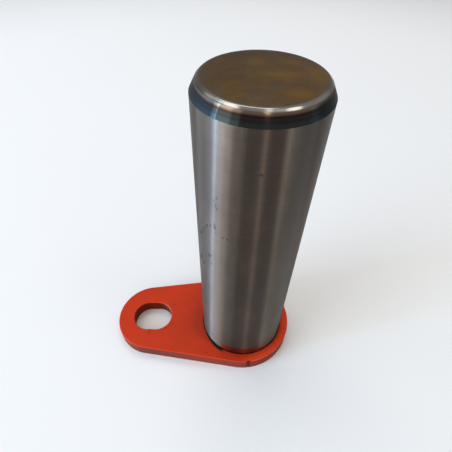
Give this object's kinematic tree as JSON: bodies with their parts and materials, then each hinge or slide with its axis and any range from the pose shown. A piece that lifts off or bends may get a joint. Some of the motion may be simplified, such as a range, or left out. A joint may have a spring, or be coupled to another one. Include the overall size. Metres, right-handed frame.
{
  "type": "bucket pin",
  "caption": "Ground steel bucket pin with a chamfered, heat-tinted free end, welded through a painted teardrop flag plate with a retaining slot.",
  "frame": {"origin": "the pin's axis at the flag's front face, where the flag seats against the boss", "axes": "+Z along the pin to its free end, -X along the flag to its retaining slot; the part stands on the flag's back face"},
  "size_m": [0.1005, 0.055, 0.153],
  "materials": {
    "ground_steel": "circumferentially ground, with a heat-tinted lead-in cone and end face",
    "flag_paint": "semi-gloss orange-red paint with small scuffs and bare spots",
    "weld_paint": "rippled weld bead under the same paint"
  },
  "bodies": {
    "root": {"pin_shaft": "ground_steel", "flag_plate": "flag_paint", "weld_bead": "weld_paint"}
  },
  "joints": []
}
